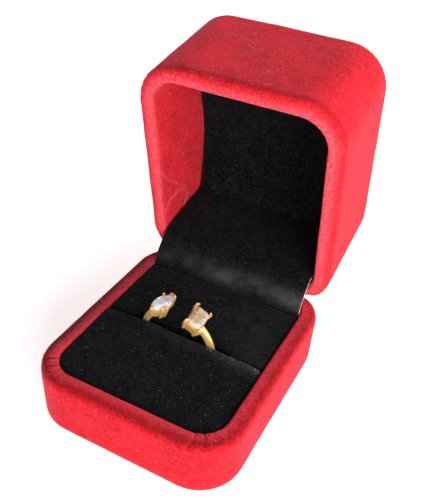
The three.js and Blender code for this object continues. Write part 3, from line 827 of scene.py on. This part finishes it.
def strip(name, path, near, far, material, puffs):
    """A sheet across the box that follows a path, from one distance behind it to another."""
    across = np.linspace(-1, 1, 56)
    way = np.gradient(path, axis=0)
    way /= np.linalg.norm(way, axis=1, keepdims=True)
    behind = np.stack([way[:, 1], -way[:, 0]], axis=1)
    rows, cols = len(path), len(across)
    skins = []
    for depth in (near, far):
        grid = np.zeros((rows, cols, 3))
        for r in range(rows):
            grid[r, :, 0] = across * liner_half(path[r])
            grid[r, :, 1:] = path[r] + behind[r] * depth
        if puffs:
            lift = 0.10 * field(grid, 6.0, 31) + 0.03 * field(grid, 1.3, 32)
            grid[..., 1:] -= behind[:, None, :] * lift[..., None]
        skins.append(grid)
    faces = grid_faces(rows, cols, flip=True) + grid_faces(rows, cols, first=rows * cols)
    faces += edge_faces(rows, cols)
    length = np.repeat(distance_along(path)[:, None], cols, axis=1)
    lay = np.stack([skins[0][..., 0], length], axis=2).reshape(-1, 2) * MM
    lay = np.concatenate([lay, lay])
    # Painted highlight: a paler band at the flap's foot, strongest towards the right, where the light
    # falls on it.
    foot = np.exp(-(((path[:, 1] - 19.2) / 2.0) ** 2)) * (path[:, 0] < 24)
    wear_and_sheen = foot[:, None] * (0.25 + 0.5 * smooth_step(skins[0][..., 0], -20, 12))
    points = np.concatenate([g.reshape(-1, 3) for g in skins])
    return make(name, points, faces, material, lay=lay, wear_and_sheen=np.tile(wear_and_sheen.ravel(), 2))


def make_liner():
    path = np.concatenate([curve(FLAP_FACE, 0.55), curve(PANEL_FACE, 0.6)])
    cloth = strip("liner_cloth", path, 0.0, 0.45, BLACK, True)
    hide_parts("flap_velvet", "liner_velvet")
    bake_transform(cloth)
    backing = strip("liner_backing", path, 0.5, 0.8, CARD, False)
    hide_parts("flap_card", "liner_card")
    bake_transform(backing)


SPRING_STAND = 12  # degrees kept clear of each hinge leaf


def hinge_spring():
    """The strip spring that reaches round the pin, from one hinge leaf to the other."""
    low, high = box_mm("hinge_spring")
    half = (high[0] - low[0]) / 2
    thick = 0.15
    inner = AXIS[1] - low[1] - thick
    outer = inner + thick
    foot = 270 - SPRING_STAND
    tip = 90 - math.degrees(OPEN) + SPRING_STAND
    steps = 40
    points = []
    for i in range(steps + 1):
        a = math.radians(foot + (tip - foot) * i / steps)
        wide = half * (1 - 0.25 * math.sin(math.pi * i / steps))
        for x, r in ((-wide, inner), (wide, inner), (wide, outer), (-wide, outer)):
            points.append((x, AXIS[1] + r * math.cos(a), AXIS[2] + r * math.sin(a)))
    faces = grid_faces(steps + 1, 4, wrap_cols=True)
    faces += [(0, 1, 2, 3), tuple(steps * 4 + k for k in (3, 2, 1, 0))]
    obj = make("strip_spring", points, faces, STEEL)
    crisp(obj, 30)
    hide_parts("hinge_spring")
    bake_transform(obj)


# ---- ring ----

RING_R = (RING_HIGH[0] - RING_LOW[0]) / 2
RING_C = (RING_LOW + RING_HIGH) / 2
RING_C[2] = RING_LOW[2] + RING_R
DOME = 1.45  # height of the band's dome over its widest line
INNER_DOME = 0.22
MARQUISE = {"at": (-6.05, RING_C[1], 23.6), "half": (1.8, 3.55), "turn": (-3, 10, -12)}
EMERALD = {"at": (3.57, RING_C[1], 23.1), "half": (1.85, 3.15), "turn": (-2, 30, 5)}


def seat(points, stone):
    """Points about a stone's own middle, turned and moved to where the stone sits."""
    turn = Matrix.Identity(3)
    for axis, angle in zip("XYZ", stone["turn"]):
        turn = Matrix.Rotation(math.radians(angle), 3, axis) @ turn
    return np.asarray(points, float) @ np.array(turn).T + stone["at"]


class Metalwork:
    """Collects closed gold solids about one stone."""

    def __init__(self):
        self.points, self.faces = [], []

    def loft(self, rings, closed=True):
        """A solid through rings of the same number of points; closed joins last to first."""
        first, sides = len(self.points), len(rings[0])
        for ring in rings:
            self.points += [tuple(p) for p in ring]
        self.faces += grid_faces(len(rings), sides, closed, True, first)
        if not closed:
            self.faces.append([first + k for k in range(sides)][::-1])
            self.faces.append([first + (len(rings) - 1) * sides + k for k in range(sides)])

    def claw(self, path, radii):
        """A round-ended tapering claw along a path."""
        sides = 12
        path = np.array(path, float)
        ends = [(path[0], radii[0])]
        way = path[-1] - path[-2]
        way /= np.linalg.norm(way)
        for a, b, ra, rb in zip(path, path[1:], radii, radii[1:]):
            ends += [(a + (b - a) * t, ra + (rb - ra) * t) for t in (0.25, 0.5, 0.75, 1.0)]
        for t in (0.3, 0.6, 0.85, 0.97):
            ends.append((path[-1] + way * radii[-1] * t, radii[-1] * math.sqrt(1 - t * t)))
        out = np.array([path[0][0], path[0][1], 0])
        out /= np.linalg.norm(out)
        side = np.cross((0, 0, 1), out)
        rings = []
        for middle, r in ends:
            angles = [2 * math.pi * k / sides for k in range(sides)]
            rings.append([middle + out * math.cos(a) * r + side * math.sin(a) * r for a in angles])
        self.loft(rings, closed=False)

    def make(self, name, stone, replaced):
        obj = make(name, seat(self.points, stone), self.faces, GOLD)
        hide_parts(replaced)
        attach(obj, "ring")
        crisp(obj, 40)


def crisp(obj, angle):
    """Turns every face of closed shells outwards, and keeps edges sharper than the angle crisp."""
    bm = bmesh.new()
    bm.from_mesh(obj.data)
    bmesh.ops.recalc_face_normals(bm, faces=bm.faces)
    bm.to_mesh(obj.data)
    bm.free()
    obj.data.set_sharp_from_angle(angle=math.radians(angle))


PINCH = 0.14  # how far the marquise's sides draw in towards its points


def oval_point(stone, grow, angle, z):
    """A point on the marquise's outline, moved out by grow."""
    x, y = stone["half"][0] + grow, stone["half"][1] + grow
    return (x * math.cos(angle) * (1 - PINCH * math.sin(angle) ** 2), y * math.sin(angle), z)


def oval(stone, grow, z, count=32):
    """The marquise's outline."""
    return [oval_point(stone, grow, 2 * math.pi * i / count, z) for i in range(count)]


def cut_corner(stone, grow, z, bevel=0.55):
    """The emerald's outline: a rectangle with its corners cut."""
    x, y = stone["half"][0] + grow, stone["half"][1] + grow
    corners = [(x, -y + bevel), (x, y - bevel), (x - bevel, y), (-x + bevel, y)]
    corners += [(-x, y - bevel), (-x, -y + bevel), (-x + bevel, -y), (x - bevel, -y)]
    return [(px, py, z) for px, py in corners]


CUP_FOOT = -2.45  # height of the cups' foot, from the stones' girdle


def gallery(work, outline, stone, taper):
    """The cup's wall: outside it draws in by taper to its foot, and inside it is a cone."""
    outer = [(0.22, -0.28), (0.28, -0.50), (0.20, -0.80), (0, -1.4), (-taper, CUP_FOOT + 0.3)]
    outer.append((-taper - 0.1, CUP_FOOT))
    inner = [(-1.35, CUP_FOOT), (-1.35, CUP_FOOT + 0.35), (-0.75, -1.25), (-0.1, -0.28)]
    work.loft([outline(stone, grow, z) for grow, z in outer + inner])


def facets(name, stone, rings, replaced, material):
    """A cut stone: the hull of its facet corners, shaded flat."""
    bm = bmesh.new()
    for p in seat(np.concatenate([np.array(r, float) for r in rings]), stone):
        bm.verts.new(Vector(p * MM))
    bmesh.ops.convex_hull(bm, input=bm.verts)
    loose = [v for v in bm.verts if not v.link_faces]
    bmesh.ops.delete(bm, geom=loose, context="VERTS")
    bmesh.ops.dissolve_limit(bm, angle_limit=math.radians(2), verts=bm.verts, edges=bm.edges)
    bmesh.ops.recalc_face_normals(bm, faces=bm.faces)
    mesh = bpy.data.meshes.new(name)
    bm.to_mesh(mesh)
    bm.free()
    mesh.shade_flat()
    mesh.materials.append(material)
    obj = bpy.data.objects.new(name, mesh)
    SCENE.collection.objects.link(obj)
    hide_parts(replaced)
    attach(obj, "ring")


# Levels of the marquise's claws: height, how far the inner and outer faces stand out from the
# outline, and the share of the claw's width.
CLAW_LEVELS = [
    (-2.70, -0.50, 0.30, 0.85), (-1.6, -0.20, 0.50, 0.9), (-0.6, 0.0, 0.58, 0.95), (0.15, 0.04, 0.58, 1.0),
    (0.42, -0.04, 0.50, 0.95), (0.58, -0.16, 0.34, 0.75), (0.64, -0.12, 0.2, 0.5),
]


def plate(work, stone, middle, half):
    """A claw that wraps the outline, by the angle half on each side of its middle angle."""
    rings = []
    for z, inner, outer, share in CLAW_LEVELS:
        ring = []
        for grow, ways in ((outer, (-1, -0.5, 0, 0.5, 1)), (inner, (1, 0.5, 0, -0.5, -1))):
            for way in ways:
                angle = math.radians(middle + way * half * share)
                ring.append(oval_point(stone, grow, angle, z))
        rings.append(ring)
    work.loft(rings, closed=False)


def oval_corners(scale, z, count, shift):
    """One ring of the marquise's facet corners; shift 1 turns it by half a facet."""
    ring = oval(MARQUISE, 0, 0, count * 2)[shift::2]
    return [(x * scale, y * scale, z) for x, y, _ in ring]


def make_marquise():
    stone = MARQUISE
    levels = [(0.56, 0.82, 8, 0), (0.80, 0.56, 8, 1), (1, 0.10, 16, 0), (1, -0.10, 16, 0)]
    levels.append((0.62, -1.0, 8, 1))
    rings = [oval_corners(*level) for level in levels] + [[(0, 0.9, -1.75), (0, -0.9, -1.75)]]
    facets("marquise_gem", stone, rings, "marquise_stone", STONE)
    work = Metalwork()
    gallery(work, oval, stone, 0.2)
    for middle, half in ((90, 26), (-90, 11), (-30, 6.5), (-13, 6.5), (146, 5)):
        plate(work, stone, middle, half)
    work.make("marquise_claws", stone, "marquise_setting")


def make_emerald():
    stone = EMERALD
    levels = [(-0.75, 0.80, 0.2), (-0.36, 0.52, 0.4), (0, 0.10), (0, -0.10), (-0.35, -0.75, 0.4)]
    levels.append((-0.85, -1.35, 0.2))
    rings = [cut_corner(stone, *level) for level in levels] + [[(0, 1.1, -1.7), (0, -1.1, -1.7)]]
    facets("emerald_gem", stone, rings, "emerald_stone", WARM_REFLECTION_STONE)
    work = Metalwork()
    gallery(work, cut_corner, stone, 0.175)
    hx, hy = stone["half"]
    for sx in (1, -1):
        for sy in (1, -1):
            x, y = sx * (hx - 0.05), sy * (hy - 0.02)
            work.claw(
                [(x * 0.82, y * 0.88, -2.6), (x * 1.08, y * 1.04, -0.7),
                 (x * 1.10, y * 1.05, 0.40), (x * 1.00, y * 1.00, 0.80)],
                [0.44, 0.46, 0.40, 0.26],
            )
    work.make("emerald_claws", stone, "emerald_setting")


def ring_band():
    """The open band, nearly flat inside and domed outside, widening a little to each stone."""
    start, end = math.radians(122), math.radians(416)
    steps = 120
    sides = 20
    points = []
    for i in range(steps + 1):
        t = i / steps
        a = start + (end - start) * t
        spread = 0.76 + 0.30 * abs(2 * t - 1) ** 6
        for k in range(sides):
            turn = 2 * math.pi * k / sides
            up = math.sin(turn)
            r = RING_R - DOME + (DOME if up > 0 else INNER_DOME) * up
            points.append((
                RING_C[0] + r * math.cos(a),
                RING_C[1] + math.cos(turn) * spread,
                RING_C[2] + r * math.sin(a),
            ))
    faces = grid_faces(steps + 1, sides, wrap_cols=True)
    faces += [list(range(sides)), list(range(steps * sides + sides - 1, steps * sides - 1, -1))]
    obj = make("band", points, faces, GOLD)
    crisp(obj, 50)
    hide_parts("ring_band")
    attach(obj, "ring")


# ---- loose fibres ----


def fibres(name, body, on, material, count, length, thick, curl, where):
    """Short loose fibres that lie on a surface: thin closed tubes, each bent a little. where says
    from a triangle's middle and normal whether any may lie on it."""
    sides = 3
    steps = 4
    mesh = on.data
    mesh.calc_loop_triangles()
    tris = [t for t in mesh.loop_triangles if where(np.array(t.center) / MM, np.array(t.normal))]
    areas = np.array([t.area for t in tris])
    rng = np.random.default_rng(len(name) * 7 + count)
    picks = rng.choice(len(tris), count, p=areas / areas.sum())
    points, faces = [], []
    for pick in picks:
        tri = tris[pick]
        a, b, c = (np.array(mesh.vertices[v].co) / MM for v in tri.vertices)
        u, v = rng.random(2)
        if u + v > 1:
            u, v = 1 - u, 1 - v
        n = np.array(tri.normal)
        along = np.cross(n, rng.normal(size=3))
        along /= np.linalg.norm(along)
        side = np.cross(n, along)
        size = rng.uniform(*length)
        bend = rng.uniform(-curl, curl) * size
        lift = rng.uniform(0.02, 0.16) * size
        start = a + (b - a) * u + (c - a) * v + n * 0.02
        first = len(points)
        for i in range(steps + 1):
            s = i / steps
            middle = start + along * size * (s - 0.5) + side * bend * (s - 0.5) ** 2 * 4
            middle = middle + n * lift * math.sin(math.pi * s)
            r = thick * (0.55 + 0.45 * math.sin(math.pi * s))
            for k in range(sides):
                turn = 2 * math.pi * k / sides
                points.append(middle + (side * math.cos(turn) + n * math.sin(turn)) * r)
        faces += grid_faces(steps + 1, sides, wrap_cols=True, first=first)
        faces.append([first + k for k in range(sides)][::-1])
        faces.append([first + steps * sides + k for k in range(sides)])
    obj = make(name, points, faces, material)
    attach(obj, body)


front_pad, rear_pad = make_pads()
base = base_cover()
lid = lid_cover()
make_liner()
hinge_spring()
ring_band()
make_marquise()
make_emerald()

fibres("base_lint", "base", base, RED_LINT, 700, (0.4, 1.1), 0.02, 0.3, lambda p, n: p[2] > 3)
fibres("lid_lint", "lid", lid, RED_LINT, 1000, (0.4, 1.1), 0.02, 0.3, lambda p, n: n[1] < 0.5)
fibres("front_pad_dust", "base", front_pad, DUST, 90, (0.12, 0.6), 0.014, 0.12, lambda p, n: n[2] > 0.6)
fibres(
    "slit_fray", "base", front_pad, DUST, 90, (0.2, 0.8), 0.016, 0.3,
    lambda p, n: p[0] > 7 and abs(p[1] - SLIT_FRONT + 0.6) < 0.9 and p[2] > PAD_TOP - 1,
)
fibres("rear_pad_dust", "base", rear_pad, DUST, 90, (0.12, 0.5), 0.014, 0.12, lambda p, n: n[2] > 0.6)

# ---- CAD nodes that show as they are ----

PLAIN = {
    "sole_card": SOLE, "base_shell": PLASTIC, "lid_shell": PLASTIC,
    "front_pad_card": CARD, "rear_pad_card": CARD, "lid_foam_block": FOAM,
    "base_hinge_leaf": STEEL, "lid_hinge_leaf": STEEL, "hinge_pin": STEEL,
    "base_rivet_left": BRASS, "base_rivet_right": BRASS, "lid_rivet_left": BRASS, "lid_rivet_right": BRASS,
}
for node, material in PLAIN.items():
    obj = frame["nodes"][node]
    obj.data.materials.clear()
    obj.data.materials.append(material)

# ---- floor, light and camera ----


def area_light(name, azimuth, elevation, distance, size, power, shine_only=False, shows=True):
    """A square soft light that looks at the box; azimuth 0 is in front of it. A shine-only light
    acts on glossy and clear surfaces alone, and one that doesn't show acts on matt ones alone."""
    a, e = math.radians(azimuth), math.radians(elevation)
    aim = Vector((0, 0.012, 0.03))
    away = Vector((math.sin(a) * math.cos(e), -math.cos(a) * math.cos(e), math.sin(e)))
    light = bpy.data.lights.new(name, "AREA")
    light.size = size
    light.energy = power
    obj = bpy.data.objects.new(name, light)
    obj.location = aim + away * distance
    obj.rotation_euler = (-away).to_track_quat("-Z", "Y").to_euler()
    obj.visible_diffuse = not shine_only
    obj.visible_glossy = obj.visible_transmission = shows
    SCENE.collection.objects.link(obj)


def sweep():
    """A round pale floor that curves up into a low wall."""
    reach = 1600
    bend = 300
    top = 900
    sides = 96
    profile = [(r, 0) for r in (60, 200, 500, 900, reach - bend)]
    for i in range(1, 13):
        a = math.radians(90 * i / 12)
        profile.append((reach - bend + bend * math.sin(a), bend - bend * math.cos(a)))
    profile.append((reach, top))
    ways = [(math.cos(2 * math.pi * k / sides), math.sin(2 * math.pi * k / sides)) for k in range(sides)]
    points = [(r * c, r * s, z) for r, z in profile for c, s in ways]
    faces = [list(range(sides))] + grid_faces(len(profile), sides, wrap_cols=True, flip=True)
    make("floor", points, faces, floor_material())


sweep()

world = bpy.data.worlds.new("world")
SCENE.world = world
world.use_nodes = True
nodes = world.node_tree.nodes
join = world.node_tree.links.new
sky = nodes["Background"]
sky.inputs["Color"].default_value = (1, 1, 1, 1)
rays = nodes.new("ShaderNodeLightPath")
strength = nodes.new("ShaderNodeMapRange")  # the sky is whiter in metal and stones
strength.inputs["To Min"].default_value = 0.28
strength.inputs["To Max"].default_value = 1.1
clear = nodes.new("ShaderNodeMath")
clear.operation = "MAXIMUM"
join(rays.outputs["Is Glossy Ray"], clear.inputs[0])
join(rays.outputs["Is Transmission Ray"], clear.inputs[1])
join(clear.outputs[0], strength.inputs["Value"])
join(strength.outputs[0], sky.inputs["Strength"])
area_light("key", 48, 15, 0.50, 0.30, 3.0, shows=False)
area_light("side", 100, 12, 0.50, 0.40, 2.3, shows=False)
area_light("glint", 62, 19, 0.50, 0.16, 1.3, shine_only=True)
area_light("card_top", 25, 75, 0.60, 0.40, 1.2, shine_only=True)

# The camera's lens, place and turn come from a fit to the outlines in the photograph.
camera = bpy.data.cameras.new("camera")
camera.lens = 48.88
camera.clip_start = 0.01
view = bpy.data.objects.new("camera", camera)
azimuth, elevation, roll = (math.radians(d) for d in (25.28, 35.65, 4.18))
back = Vector((
    math.sin(azimuth) * math.cos(elevation),
    -math.cos(azimuth) * math.cos(elevation),
    math.sin(elevation),
))
aim = (-back).to_track_quat("-Z", "Y")
view.rotation_euler = (aim @ Matrix.Rotation(roll, 3, "Z").to_quaternion()).to_euler()
view.location = (0.05727, -0.10859, 0.12832)
SCENE.collection.objects.link(view)
SCENE.camera = view
SCENE.view_settings.view_transform = "Standard"
